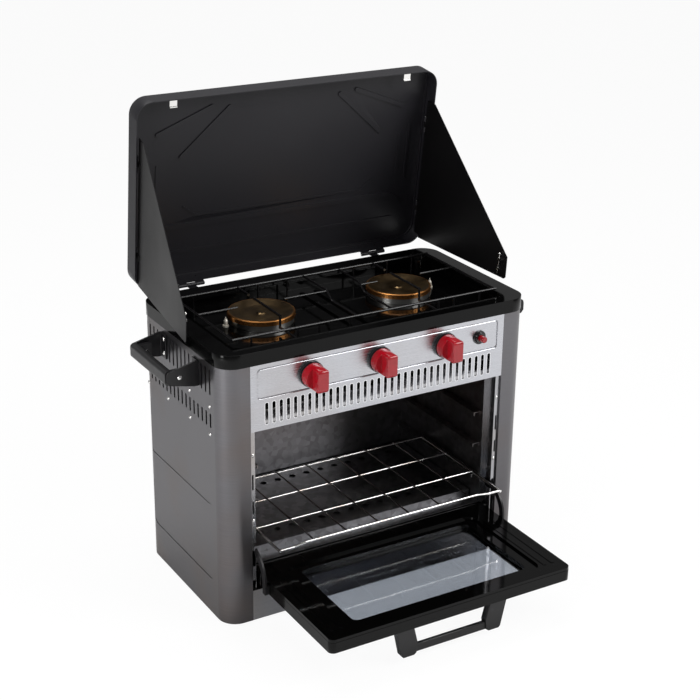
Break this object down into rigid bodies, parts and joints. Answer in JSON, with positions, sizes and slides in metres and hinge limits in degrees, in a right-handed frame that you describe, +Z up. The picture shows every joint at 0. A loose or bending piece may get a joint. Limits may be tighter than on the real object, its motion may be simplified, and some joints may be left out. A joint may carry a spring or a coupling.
{
  "type": "folding camp oven",
  "caption": "Portable gas camp oven with a burner cooktop under a tilting lid, folding side windscreens, front knobs, side handles and a drop-down glass oven door.",
  "frame": {"origin": "middle of the whole outline at rest, open door and tilted lid included, on the surface the rubber feet stand on; the middle of the body itself is 81.2 mm behind it", "axes": "+Z up, -Y towards the front (door and knobs), +X to the right as seen from the front"},
  "size_m": [0.635, 0.5531, 0.749],
  "materials": {
    "brushed_side": "satin",
    "brushed_front": "brushed",
    "zinc_sheet": "satin",
    "black_rubber": "matt",
    "bright_steel": "polished",
    "black_plastic": "satin",
    "red_plastic": "gloss",
    "brass": "turned",
    "raw_aluminium": "cast",
    "enamel": "gloss enamel",
    "burner_brass": "heat-tinted",
    "white_ceramic": "gloss",
    "satin_black": "satin powder coat",
    "clear_glass": "clear",
    "seal_rubber": "matt"
  },
  "bodies": {
    "body": {"left_side_panel": "brushed_side", "right_side_panel": "brushed_side", "back_panel": "zinc_sheet", "base_pan": "zinc_sheet", "rubber_feet": "black_rubber", "front_sill": "brushed_front", "oven_front_frame": "brushed_front", "frame_rivets": "bright_steel", "side_rivets": "bright_steel", "control_panel": "brushed_front", "knob_bezels": "black_plastic", "igniter_bezel": "black_plastic", "igniter_body": "black_plastic", "valve_bodies": "brass", "gas_manifold": "raw_aluminium", "gas_inlet": "brass", "oven_liner": "zinc_sheet", "rack_ledges": "zinc_sheet", "oven_floor_plate": "zinc_sheet", "oven_burner": "raw_aluminium", "cooktop": "enamel", "burner_bowls": "raw_aluminium", "burner_tubes": "raw_aluminium", "burner_caps": "burner_brass", "electrodes": "white_ceramic", "grate": "satin_black", "handle_brackets": "satin_black", "handle_grips": "black_plastic", "handle_screws": "bright_steel", "door_brackets": "zinc_sheet", "door_pins": "bright_steel", "body_hinge_leaves": "satin_black", "lid_hinge_pins": "bright_steel"},
    "knob_left_turn": {"knob_left": "red_plastic", "stem_left": "brass"},
    "knob_middle_turn": {"knob_middle": "red_plastic", "stem_middle": "brass"},
    "knob_right_turn": {"knob_right": "red_plastic", "stem_right": "brass"},
    "igniter": {"igniter_button": "red_plastic"},
    "rack": {"oven_rack": "bright_steel"},
    "door": {"door_outer_panel": "enamel", "door_inner_liner": "enamel", "door_inner_glass": "clear_glass", "door_outer_glass": "clear_glass", "door_glass_seal": "seal_rubber", "door_arms": "satin_black", "door_handle": "satin_black", "door_handle_screws": "bright_steel"},
    "lid": {"lid_shell": "satin_black", "lid_hinge_leaves": "satin_black", "lid_catches": "bright_steel", "windscreen_leaves": "satin_black", "windscreen_pins": "bright_steel"},
    "screen_left": {"left_windscreen": "satin_black", "left_stay": "bright_steel"},
    "screen_right": {"right_windscreen": "satin_black", "right_stay": "bright_steel"}
  },
  "joints": [
    {"name": "knob_left_spin", "type": "hinge", "parent": "body", "child": "knob_left_turn", "pos_m": [-0.122, -0.0708, 0.3887], "axis": [0, -1, 0], "range_deg": [0, 180]},
    {"name": "knob_middle_spin", "type": "hinge", "parent": "body", "child": "knob_middle_turn", "pos_m": [-0.0055, -0.0708, 0.3887], "axis": [0, -1, 0], "range_deg": [0, 180]},
    {"name": "knob_right_spin", "type": "hinge", "parent": "body", "child": "knob_right_turn", "pos_m": [0.111, -0.0708, 0.3887], "axis": [0, -1, 0], "range_deg": [0, 180]},
    {"name": "igniter_press", "type": "slide", "parent": "body", "child": "igniter", "axis": [0, 1, 0], "range_m": [0, 0.004], "stiffness_N_per_m": 800},
    {"name": "door_drop", "type": "hinge", "parent": "body", "child": "door", "pos_m": [0, -0.04305, 0.07875], "axis": [-1, 0, 0], "range_deg": [0, 90]},
    {"name": "rack_slide", "type": "slide", "parent": "body", "child": "rack", "axis": [0, 1, 0], "range_m": [0, 0.0705]},
    {"name": "lid_tilt", "type": "hinge", "parent": "body", "child": "lid", "pos_m": [0, 0.24636, 0.43738], "axis": [-1, 0, 0], "range_deg": [0, 8]},
    {"name": "screen_left_fold", "type": "hinge", "parent": "lid", "child": "screen_left", "pos_m": [-0.2579, 0.2383, 0.56157], "axis": [0, -0.1288, 0.9917], "range_deg": [-2, 96]},
    {"name": "screen_right_fold", "type": "hinge", "parent": "lid", "child": "screen_right", "pos_m": [0.2579, 0.24524, 0.56247], "axis": [0, 0.1288, -0.9917], "range_deg": [-4, 88]}
  ],
  "couplings": [
    {"joint": "rack_slide", "follows": "door_drop", "m_per_rad": 0.044882}
  ]
}
